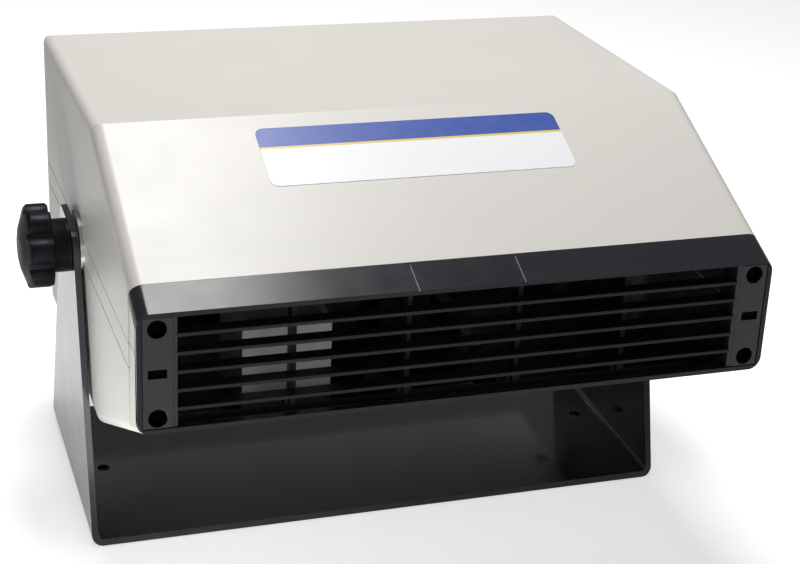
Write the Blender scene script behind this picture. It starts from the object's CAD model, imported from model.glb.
"""Looks of the benchtop ionizing blower: materials, label, edge softening, lights and camera."""
import math

import bmesh
import bpy
from mathutils import Matrix, Vector


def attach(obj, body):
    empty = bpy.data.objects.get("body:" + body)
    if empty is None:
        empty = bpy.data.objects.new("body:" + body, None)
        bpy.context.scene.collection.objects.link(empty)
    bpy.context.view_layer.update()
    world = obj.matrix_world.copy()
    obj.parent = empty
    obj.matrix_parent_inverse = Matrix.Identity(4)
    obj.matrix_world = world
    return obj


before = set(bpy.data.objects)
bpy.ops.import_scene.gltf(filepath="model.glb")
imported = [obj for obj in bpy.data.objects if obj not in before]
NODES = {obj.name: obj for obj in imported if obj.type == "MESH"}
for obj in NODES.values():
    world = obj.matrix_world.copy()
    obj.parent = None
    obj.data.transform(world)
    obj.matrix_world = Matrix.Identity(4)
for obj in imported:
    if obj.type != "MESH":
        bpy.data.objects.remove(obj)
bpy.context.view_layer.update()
SCENE = bpy.context.scene
MM = 0.001

# Sizes of the part that the scene's own pieces are fitted to, in millimetres and degrees
REST_TILT = 2.7
PIVOT = (0.0, -9.0, 140.5)
HALF_W = 150.0
HALF_H = 77.25
REAR_D = 114.0
CREASE_D = 48.0
FRONT_D = 156.5
FRONT_HALF_H = 28.3
SLOPE = math.degrees(math.atan2(HALF_H - FRONT_HALF_H, FRONT_D - CREASE_D))
BASE_HALF = (150.0, 66.0)

# The front frame's rim, and the louvre insert whose face lies a little behind the frame's
RIM = 2.5
INSERT_GAP = 0.3
END_W = 15.3
SOCKET_EDGE = 6.5
SOCKET_DROP = 4.9
SOCKET_R = 4.2
KEY_HALF_W = 4.1
KEY_HALF_H = 2.05
INSERT_D = FRONT_D - INSERT_GAP
LOUVRE_HALF_W = HALF_W - RIM - END_W
SOCKET_X = HALF_W - RIM - SOCKET_EDGE
SOCKET_C = FRONT_HALF_H - RIM - SOCKET_DROP
HOOD_LINE_X = 25.0

# Margins of the tests that pick faces by their middles, in millimetres
SKIN_DEPTH = 2.2
RECESS_SLACK = 0.1
RECESS_DEPTH = 0.2
LOUVRE_MARGIN = 0.5
LEDGE_DEPTH = 1.0
LINE_REACH = 0.26


# ---------- materials ----------

def linear(*rgb):
    """A colour given as 0-255 sRGB, as the linear RGBA that sockets take."""
    def one(v):
        v /= 255.0
        return v / 12.92 if v <= 0.04045 else ((v + 0.055) / 1.055) ** 2.4
    return tuple(one(v) for v in rgb) + (1.0,)


def scaled(colour, k):
    """A colour made lighter or darker by a factor."""
    return tuple(min(1.0, c * k) for c in colour[:3]) + (1.0,)


# Where most values of a noise lie, how fine it is in colour and gloss, and how deep in relief
NOISE_LOW = 0.3
NOISE_HIGH = 0.7
COLOUR_DETAIL = 4.0
ROUGH_DETAIL = 5.0
LEAST_ROUGH = 0.02
FINE_RELIEF = 0.00006
UNSTRETCHED = (1, 1, 1)

# The sockets of a Mix node that carry colours
MIX_FIRST = 6
MIX_SECOND = 7
MIX_RESULT = 2

# A cool cast for the mirror image in the black gloss
COOL = (0.82, 0.90, 1.0)


class Surface:
    """A Principled material whose colour, roughness and relief vary with noise in object space."""

    def __init__(self, name, colour, rough, metal=0.0, ior=1.46, coat=0.0, coat_rough=0.1,
                 tint=(1.0, 1.0, 1.0)):
        self.mat = bpy.data.materials.new(name)
        self.mat.use_nodes = True
        self.tree = self.mat.node_tree
        self.tree.nodes.clear()
        self.out = self.node("ShaderNodeOutputMaterial")
        self.bsdf = self.node("ShaderNodeBsdfPrincipled")
        self.link(self.bsdf, "BSDF", self.out, "Surface")
        self.colour = linear(*colour)
        self.rough = rough
        self.set("Base Color", self.colour)
        self.set("Roughness", rough)
        self.set("Metallic", metal)
        self.set("IOR", ior)
        self.set("Coat Weight", coat)
        self.set("Coat Roughness", coat_rough)
        self.set("Specular Tint", tint + (1.0,))
        self.coords = self.node("ShaderNodeTexCoord")
        self.relief = None

    def node(self, kind, **inputs):
        """A new node with some of its inputs set."""
        n = self.tree.nodes.new(kind)
        for key, value in inputs.items():
            n.inputs[key.replace("_", " ")].default_value = value
        return n

    def link(self, a, out, b, into):
        self.tree.links.new(a.outputs[out], b.inputs[into])

    def set(self, socket, value):
        self.bsdf.inputs[socket].default_value = value

    def noise(self, scale, detail, stretch):
        mapping = self.node("ShaderNodeMapping")
        mapping.inputs["Scale"].default_value = stretch
        noise = self.node("ShaderNodeTexNoise", Scale=scale, Detail=detail)
        self.link(self.coords, "Object", mapping, "Vector")
        self.link(mapping, "Vector", noise, "Vector")
        return noise

    def vary_colour(self, scale, amount):
        """Makes the base colour drift between two shades of itself."""
        noise = self.noise(scale, COLOUR_DETAIL, UNSTRETCHED)
        mix = self.node("ShaderNodeMix")
        mix.data_type = "RGBA"
        mix.inputs[MIX_FIRST].default_value = scaled(self.colour, 1 - amount)
        mix.inputs[MIX_SECOND].default_value = scaled(self.colour, 1 + amount)
        self.tree.links.new(noise.outputs["Fac"], mix.inputs["Factor"])
        self.tree.links.new(mix.outputs[MIX_RESULT], self.bsdf.inputs["Base Color"])
        return self

    def vary_rough(self, scale, amount):
        """Makes the roughness drift by an amount to either side."""
        noise = self.noise(scale, ROUGH_DETAIL, UNSTRETCHED)
        span = self.node("ShaderNodeMapRange")
        span.inputs["From Min"].default_value = NOISE_LOW
        span.inputs["From Max"].default_value = NOISE_HIGH
        span.inputs["To Min"].default_value = max(LEAST_ROUGH, self.rough - amount)
        span.inputs["To Max"].default_value = min(1.0, self.rough + amount)
        self.link(noise, "Fac", span, "Value")
        self.link(span, "Result", self.bsdf, "Roughness")
        return self

    def bump(self, scale, strength, depth=FINE_RELIEF, detail=2.0, stretch=UNSTRETCHED):
        """Adds a layer of relief over the ones that are there."""
        noise = self.noise(scale, detail, stretch)
        bump = self.node("ShaderNodeBump", Strength=strength, Distance=depth)
        self.link(noise, "Fac", bump, "Height")
        if self.relief:
            self.link(self.relief, "Normal", bump, "Normal")
        self.link(bump, "Normal", self.bsdf, "Normal")
        self.relief = bump
        return self


def housing_surfaces():
    """Painted sheet and shells."""
    m = {}
    m["housing"] = (Surface("housing_paint", (218, 215, 209), 0.36, ior=1.39, coat=0.04,
                            coat_rough=0.25)
                    .vary_colour(9, 0.008).vary_rough(40, 0.03)
                    .bump(1500, 0.10).bump(9, 0.02, 0.0005))
    m["inside"] = (Surface("shielded_inside", (112, 114, 119), 0.55)
                   .vary_colour(30, 0.08).vary_rough(90, 0.06).bump(1400, 0.1))
    m["panel"] = (Surface("panel_paint", (60, 62, 66), 0.5)
                  .vary_colour(30, 0.06).vary_rough(120, 0.06).bump(1600, 0.3))
    m["bracket"] = (Surface("gloss_enamel", (11, 13, 18), 0.2, coat=0.85, coat_rough=0.08,
                            tint=COOL)
                    .vary_colour(20, 0.08).vary_rough(60, 0.04).bump(420, 0.06, 0.0002))
    return m


def outlet_surfaces():
    """The front frame and the louvre insert."""
    m = {}
    m["black"] = (Surface("black_moulding", (41, 43, 47), 0.21, ior=1.34)
                  .vary_colour(30, 0.06).vary_rough(90, 0.03).bump(1400, 0.3))
    m["insert"] = (Surface("insert_moulding", (50, 50, 55), 0.34)
                   .vary_colour(30, 0.06).vary_rough(90, 0.03).bump(1400, 0.15))
    m["louvre"] = (Surface("louvre_moulding", (30, 31, 35), 0.40, ior=1.35)
                   .vary_colour(30, 0.06).vary_rough(90, 0.03).bump(1400, 0.15))
    m["recess"] = (Surface("recess_shade", (5, 5, 6), 0.85, ior=1.2)
                   .vary_colour(30, 0.06).bump(1400, 0.1))
    m["line"] = (Surface("hood_line", (140, 143, 148), 0.4)
                 .vary_colour(90, 0.1).vary_rough(90, 0.05).bump(1400, 0.1))
    return m


def control_surfaces():
    """Knobs, switch, lamp and fans."""
    m = {}
    m["knob"] = (Surface("knob_moulding", (18, 19, 22), 0.42, ior=1.22, tint=COOL)
                 .vary_colour(60, 0.10).vary_rough(120, 0.07).bump(1100, 0.22))
    m["fan"] = (Surface("fan_moulding", (34, 35, 38), 0.5)
                .vary_colour(40, 0.10).vary_rough(90, 0.08).bump(1200, 0.2))
    m["rocker"] = (Surface("rocker_moulding", (150, 26, 24), 0.28)
                   .vary_colour(60, 0.06).vary_rough(120, 0.05).bump(900, 0.05))
    m["lamp"] = (Surface("lamp_lens", (64, 176, 96), 0.18)
                 .vary_colour(60, 0.06).vary_rough(120, 0.03).bump(700, 0.05))
    return m


def metal_surfaces():
    """Bare and plated metal."""
    m = {}
    m["chrome"] = (Surface("bright_plating", (205, 207, 210), 0.16, metal=1.0)
                   .vary_rough(300, 0.05).bump(900, 0.03))
    m["steel"] = (Surface("plated_steel", (176, 178, 181), 0.3, metal=1.0)
                  .vary_colour(80, 0.05).vary_rough(200, 0.08).bump(1300, 0.08))
    m["dark_screw"] = (Surface("black_oxide", (7, 7, 8), 0.85, ior=1.2)
                       .vary_rough(200, 0.08).bump(1300, 0.08))
    m["tungsten"] = (Surface("tungsten", (58, 58, 61), 0.6, metal=1.0)
                     .vary_rough(200, 0.05).bump(1300, 0.05))
    m["copper"] = (Surface("winding_wire", (165, 96, 52), 0.32, metal=1.0)
                   .vary_colour(200, 0.12).vary_rough(200, 0.06)
                   .bump(900, 0.6, 0.0003, 1.0, (1, 6, 1)))
    m["brass"] = (Surface("turned_brass", (196, 164, 92), 0.28, metal=1.0)
                  .vary_rough(300, 0.06).bump(1200, 0.08))
    return m


def electrical_surfaces():
    """The high-voltage module and the control board."""
    m = {}
    m["module"] = (Surface("module_case", (205, 206, 204), 0.5)
                   .vary_colour(40, 0.03).vary_rough(90, 0.06).bump(1300, 0.14))
    m["board"] = (Surface("solder_resist", (36, 104, 64), 0.3)
                  .vary_colour(260, 0.18).vary_rough(300, 0.06).bump(700, 0.2))
    m["parts"] = (Surface("board_parts", (52, 54, 58), 0.42)
                  .vary_colour(60, 0.25).vary_rough(120, 0.1).bump(900, 0.15))
    return m


def label_surfaces():
    """The label's three colours."""
    m = {}
    m["label_white"] = (Surface("label_white", (240, 241, 243), 0.34)
                        .vary_colour(30, 0.008).vary_rough(160, 0.04).bump(900, 0.04))
    m["label_blue"] = (Surface("label_blue", (62, 88, 168), 0.34)
                       .vary_colour(30, 0.03).vary_rough(160, 0.04).bump(900, 0.04))
    m["label_gold"] = (Surface("label_gold", (226, 202, 120), 0.34)
                       .vary_colour(30, 0.02).vary_rough(160, 0.04).bump(900, 0.04))
    return m


def make_materials():
    """Every material by the key that DRESS and the later steps use."""
    kinds = (housing_surfaces, outlet_surfaces, control_surfaces, metal_surfaces,
             electrical_surfaces, label_surfaces)
    return {key: surface.mat for kind in kinds for key, surface in kind().items()}


MATERIALS = make_materials()


# ---------- dressing the CAD nodes ----------

DRESS = {
    "housing": ["lower_shell", "upper_shell"],
    "insert": ["louvre_insert"],
    "black": ["front_frame", "power_inlet", "switch_frame", "emitter_rail"],
    "knob": ["knob_left", "knob_right", "knob_washer_left", "knob_washer_right", "speed_knob"],
    "fan": ["fan_frame_left", "fan_frame_right", "fan_impeller_left", "fan_impeller_right"],
    "bracket": ["bracket"],
    "chrome": ["spacer_left", "spacer_right", "friction_washer_left", "friction_washer_right",
               "knob_stud_left", "knob_stud_right"],
    "tungsten": ["emitter_needles"],
    "steel": ["shell_screws", "pivot_plate_left", "pivot_plate_right", "fan_bearings_left",
              "fan_bearings_right", "fan_shaft_left", "fan_shaft_right", "fan_guard_left",
              "fan_guard_right", "fan_screws", "module_screws", "board_screws", "inlet_pins",
              "speed_shaft", "speed_control"],
    "dark_screw": ["insert_screws"],
    "copper": ["fan_stator_left", "fan_stator_right"],
    "brass": ["board_standoffs"],
    "module": ["high_voltage_module"],
    "board": ["control_board"],
    "parts": ["board_components"],
    "panel": ["rear_panel"],
    "rocker": ["power_rocker"],
    "lamp": ["status_lamp"],
}


def dress_nodes():
    """Gives each node its material."""
    for key, names in DRESS.items():
        for name in names:
            mesh = NODES[name].data
            mesh.materials.clear()
            mesh.materials.append(MATERIALS[key])


def body_coords(point):
    """Where a point lies across, rearwards and up from the pivot of the level housing, in mm."""
    t = math.radians(REST_TILT)
    p = point / MM - Vector(PIVOT)
    return p.x, p.y * math.cos(t) - p.z * math.sin(t), p.y * math.sin(t) + p.z * math.cos(t)


def shade_faces(name, key, chosen):
    """Gives one more material to the faces of a node whose middle passes a test."""
    obj = NODES[name]
    obj.data.materials.append(MATERIALS[key])
    slot = len(obj.data.materials) - 1
    for face in obj.data.polygons:
        if chosen(*body_coords(obj.matrix_world @ face.center)):
            face.material_index = slot


def inside_shell(x, b, c):
    """True inside the outer skin of the housing, where the shells have a grey shielding coat."""
    slope = math.radians(SLOPE)
    under_slope = (HALF_H - abs(c)) * math.cos(slope) + (CREASE_D + b) * math.sin(slope)
    return min(HALF_W - abs(x), HALF_H - abs(c), REAR_D - b, under_slope) > SKIN_DEPTH


def in_recess(x, b, c):
    """True in the screw sockets and the key slots of the louvre insert."""
    across = abs(x) - SOCKET_X
    socket = math.hypot(across, abs(c) - SOCKET_C) < SOCKET_R + RECESS_SLACK
    key = abs(across) < KEY_HALF_W + RECESS_SLACK and abs(c) < KEY_HALF_H + RECESS_SLACK
    return b + INSERT_D > RECESS_DEPTH and (socket or key)


def on_louvre(x, b, c):
    """True on the louvres and ribs between the end plates."""
    return abs(x) < LOUVRE_HALF_W - LOUVRE_MARGIN


def in_pocket(x, b, c):
    """True on the ledges of the frame behind the end plates."""
    within = abs(c) < FRONT_HALF_H - RIM - LEDGE_DEPTH
    return abs(x) > LOUVRE_HALF_W and within and b + INSERT_D > LEDGE_DEPTH


def on_hood_line(x, b, c):
    """True in the two fine lines across the hood."""
    return abs(abs(x) - HOOD_LINE_X) < LINE_REACH


def shade_parts():
    """Further materials inside the shells, on the louvres, in the recesses and the hood's lines."""
    for name in DRESS["housing"]:
        shade_faces(name, "inside", inside_shell)
    shade_faces("louvre_insert", "louvre", on_louvre)
    shade_faces("louvre_insert", "recess", in_recess)
    shade_faces("front_frame", "recess", in_pocket)
    shade_faces("front_frame", "line", on_hood_line)


# ---------- edge softening on the CAD nodes ----------

# Bevel widths in millimetres, the reach of the weld before them and the least angle they take
WELD_REACH = 0.002
SHARP_ANGLE = 32
BEVEL_SEGMENTS = 2
SOFT_EDGES = {
    "bracket": 0.5, "louvre_insert": 0.25, "knob_left": 0.7, "knob_right": 0.7,
    "power_inlet": 0.4, "switch_frame": 0.3, "speed_knob": 0.3, "power_rocker": 0.4,
    "fan_frame_left": 0.4, "fan_frame_right": 0.4, "fan_impeller_left": 0.25,
    "fan_impeller_right": 0.25, "fan_screws": 0.4, "rear_panel": 0.2, "high_voltage_module": 0.6,
}


def soften_edges():
    """Small bevels on sharp edges, by modifiers that leave the CAD vertices as they are."""
    for name, width in SOFT_EDGES.items():
        obj = NODES[name]
        weld = obj.modifiers.new("weld", "WELD")
        weld.merge_threshold = WELD_REACH * MM
        bevel = obj.modifiers.new("edges", "BEVEL")
        bevel.width = width * MM
        bevel.segments = BEVEL_SEGMENTS
        bevel.limit_method = "ANGLE"
        bevel.angle_limit = math.radians(SHARP_ANGLE)
        bevel.use_clamp_overlap = True


# ---------- pieces ----------

CORNER_STEPS = 8


def body_point(x, b, c):
    """A point given across, rearwards and up from the pivot of the level housing, in metres."""
    t = math.radians(-REST_TILT)
    y = b * math.cos(t) - c * math.sin(t)
    z = b * math.sin(t) + c * math.cos(t)
    return Vector((PIVOT[0] + x, PIVOT[1] + y, PIVOT[2] + z)) * MM


def slope_matrix():
    """Frame on the upper slope: X across, Y up the slope towards the crease, Z out of the panel."""
    origin = body_point(0, -CREASE_D, HALF_H)
    turn = Matrix.Rotation(math.radians(SLOPE - REST_TILT), 4, "X")
    return Matrix.Translation(origin) @ turn


def rounded_outline(w, h, r, steps=CORNER_STEPS):
    """The outline of a rectangle with round corners, as points about its middle."""
    points = []
    for cx, cy, start in ((1, 1, 0), (-1, 1, 90), (-1, -1, 180), (1, -1, 270)):
        for i in range(steps + 1):
            a = math.radians(start + 90 * i / steps)
            points.append((cx * (w / 2 - r) + r * math.cos(a), cy * (h / 2 - r) + r * math.sin(a)))
    return points


# The label in millimetres: its outline, its place below the crease and its colours' borders
LABEL_W = 151.0
LABEL_H = 39.0
LABEL_R = 4.0
LABEL_T = 0.25
LABEL_LIFT = 0.02
LABEL_BELOW_CREASE = 9.7
BAND_FROM = 6.5
RULE_FROM = 5.0


def label_slot(height):
    """Which of the label's colours a height has: white field, gold rule or blue band."""
    if height > BAND_FROM:
        return 1
    return 2 if height > RULE_FROM else 0


def build_label():
    """A plain three-colour label with rounded corners on the sloping panel."""
    mesh = bmesh.new()
    mesh.faces.new([mesh.verts.new((x * MM, y * MM, LABEL_T * MM))
                    for x, y in rounded_outline(LABEL_W, LABEL_H, LABEL_R)])
    for height in (BAND_FROM, RULE_FROM):
        bmesh.ops.bisect_plane(mesh, geom=mesh.verts[:] + mesh.edges[:] + mesh.faces[:],
                               plane_co=(0, height * MM, 0), plane_no=(0, 1, 0))
    for face in mesh.faces:
        face.material_index = label_slot(face.calc_center_median().y / MM)
    top = bmesh.ops.extrude_face_region(mesh, geom=mesh.faces[:])
    raised = {v for v in top["geom"] if isinstance(v, bmesh.types.BMVert)}
    for v in mesh.verts:
        if v not in raised:
            v.co.z = LABEL_LIFT * MM
    bmesh.ops.recalc_face_normals(mesh, faces=mesh.faces[:])
    data = bpy.data.meshes.new("label")
    mesh.to_mesh(data)
    mesh.free()
    for key in ("label_white", "label_blue", "label_gold"):
        data.materials.append(MATERIALS[key])
    obj = bpy.data.objects.new("label", data)
    bpy.context.collection.objects.link(obj)
    middle = -(LABEL_BELOW_CREASE + LABEL_H / 2) * MM
    obj.matrix_world = slope_matrix() @ Matrix.Translation((0, middle, 0))
    bpy.context.view_layer.update()
    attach(obj, "housing")


# ---------- floor, world, lights and camera ----------

# Strength of the room's light on matt surfaces and in mirror images, and of the floor's glow
# to the camera and in mirror images
AMBIENT = 0.11
ROOM_GLOSS = 0.20
FLOOR_GLOW = 0.58
FLOOR_GLOSS = 0.24
FLOOR_HALF = 6.0
FLOOR_DROP = 0.5
PALE = (0.80, 0.80, 0.80, 1)
DAYLIGHT = (1.0, 0.995, 0.985, 1)
LAMPS = [
    # name, place, what it faces, size in metres, watts
    ("overhead", (-0.01, 0.20, 1.17), (-0.01, -0.03, 0.16), (0.34, 0.56), 11.0),
    ("low_side", (-0.25, -0.20, 0.02), (-0.15, -0.15, 0.06), (0.12, 0.03), 0.27),
    ("front_fill", (-0.05, -1.5, 0.35), (0.0, 0.0, 0.12), (0.8, 0.5), 3.4),
]


def math_node(tree, operation, *inputs):
    """The output of a Math node whose inputs are numbers or other nodes' outputs."""
    node = tree.nodes.new("ShaderNodeMath")
    node.operation = operation
    for socket, value in zip(node.inputs, inputs):
        if isinstance(value, bpy.types.NodeSocket):
            tree.links.new(value, socket)
        else:
            socket.default_value = value
    return node.outputs[0]


def mix_shaders(tree, factor, first, second):
    """The first shader at factor 0 and the second at factor 1."""
    node = tree.nodes.new("ShaderNodeMixShader")
    for socket, value in zip(node.inputs, (factor, first, second)):
        tree.links.new(value, socket)
    return node.outputs[0]


def background(tree, colour, strength):
    node = tree.nodes.new("ShaderNodeBackground")
    node.inputs["Color"].default_value = colour
    node.inputs["Strength"].default_value = strength
    return node.outputs[0]


def open_floor(tree):
    """1 on the open floor and 0 under the bracket's base, so that its screw holes look dark."""
    coords = tree.nodes.new("ShaderNodeTexCoord")
    parts = tree.nodes.new("ShaderNodeSeparateXYZ")
    tree.links.new(coords.outputs["Object"], parts.inputs[0])
    beyond = []
    for axis, half in zip("XY", BASE_HALF):
        reach = math_node(tree, "ABSOLUTE", parts.outputs[axis])
        beyond.append(math_node(tree, "GREATER_THAN", reach, half * MM))
    return math_node(tree, "MAXIMUM", *beyond)


def floor_material():
    """A pale matt floor that also glows, weaker in mirror images than to the camera."""
    mat = bpy.data.materials.new("floor")
    mat.use_nodes = True
    tree = mat.node_tree
    tree.nodes.clear()
    out = tree.nodes.new("ShaderNodeOutputMaterial")
    add = tree.nodes.new("ShaderNodeAddShader")
    diffuse = tree.nodes.new("ShaderNodeBsdfDiffuse")
    diffuse.inputs["Color"].default_value = PALE
    glow = tree.nodes.new("ShaderNodeEmission")
    path = tree.nodes.new("ShaderNodeLightPath")
    mirrored = math_node(tree, "MULTIPLY", path.outputs["Is Glossy Ray"], FLOOR_GLOSS)
    seen = math_node(tree, "MULTIPLY_ADD", path.outputs["Is Camera Ray"], FLOOR_GLOW, mirrored)
    tree.links.new(math_node(tree, "MULTIPLY", seen, open_floor(tree)), glow.inputs["Strength"])
    tree.links.new(diffuse.outputs[0], add.inputs[0])
    tree.links.new(glow.outputs[0], add.inputs[1])
    tree.links.new(add.outputs[0], out.inputs["Surface"])
    return mat


def build_floor():
    """A wide floor just under the base, which belongs to the stage and not to the part."""
    mesh = bmesh.new()
    bmesh.ops.create_grid(mesh, x_segments=2, y_segments=2, size=FLOOR_HALF)
    data = bpy.data.meshes.new("floor")
    mesh.to_mesh(data)
    mesh.free()
    floor = bpy.data.objects.new("floor", data)
    bpy.context.collection.objects.link(floor)
    floor.location.z = -FLOOR_DROP * MM
    data.materials.append(floor_material())


def build_world():
    """Bright to the camera, dimmer as light on the object and in its mirror images."""
    world = bpy.data.worlds.new("studio")
    SCENE.world = world
    world.use_nodes = True
    tree = world.node_tree
    tree.nodes.clear()
    out = tree.nodes.new("ShaderNodeOutputWorld")
    path = tree.nodes.new("ShaderNodeLightPath")
    plain = background(tree, DAYLIGHT, AMBIENT)
    bright = background(tree, PALE, 1.0)
    room = background(tree, PALE, ROOM_GLOSS)
    lit = mix_shaders(tree, path.outputs["Is Camera Ray"], plain, bright)
    whole = mix_shaders(tree, path.outputs["Is Glossy Ray"], lit, room)
    tree.links.new(whole, out.inputs["Surface"])


def build_lamps():
    """Area lamps that light the part and show in its gloss, but not to the camera."""
    for name, place, target, size, watts in LAMPS:
        data = bpy.data.lights.new(name, "AREA")
        data.shape = "RECTANGLE"
        data.size, data.size_y = size
        data.energy = watts
        lamp = bpy.data.objects.new(name, data)
        bpy.context.collection.objects.link(lamp)
        lamp.location = place
        lamp.visible_camera = False
        aim = Vector(target) - Vector(place)
        lamp.rotation_mode = "QUATERNION"
        lamp.rotation_quaternion = aim.to_track_quat("-Z", "Y")


# The camera in metres, degrees and millimetres of lens
CAMERA_PLACE = (-0.2690, -0.8180, 0.5082)
CAMERA_AIM = (0.30537, 0.85164, -0.42597)
CAMERA_LEAN = 3.70
FOCAL_LENGTH = 79.58
SENSOR_W = 36.0
NEAR = 0.05
FAR = 50.0


def build_camera():
    """The camera stands left of the outlet side, looks down at the part and leans a little."""
    forward = Vector(CAMERA_AIM).normalized()
    lean = math.radians(CAMERA_LEAN)
    level = forward.cross(Vector((0, 0, 1))).normalized()
    upright = level.cross(forward)
    right = level * math.cos(lean) + upright * math.sin(lean)
    up = upright * math.cos(lean) - level * math.sin(lean)
    data = bpy.data.cameras.new("camera")
    data.sensor_width = SENSOR_W
    data.lens = FOCAL_LENGTH
    data.clip_start = NEAR
    data.clip_end = FAR
    camera = bpy.data.objects.new("camera", data)
    bpy.context.collection.objects.link(camera)
    axes = Matrix((right, up, -forward)).transposed().to_4x4()
    camera.matrix_world = Matrix.Translation(Vector(CAMERA_PLACE)) @ axes
    SCENE.camera = camera


SCENE.view_settings.view_transform = "Standard"
dress_nodes()
shade_parts()
soften_edges()
build_label()
build_floor()
build_world()
build_lamps()
build_camera()
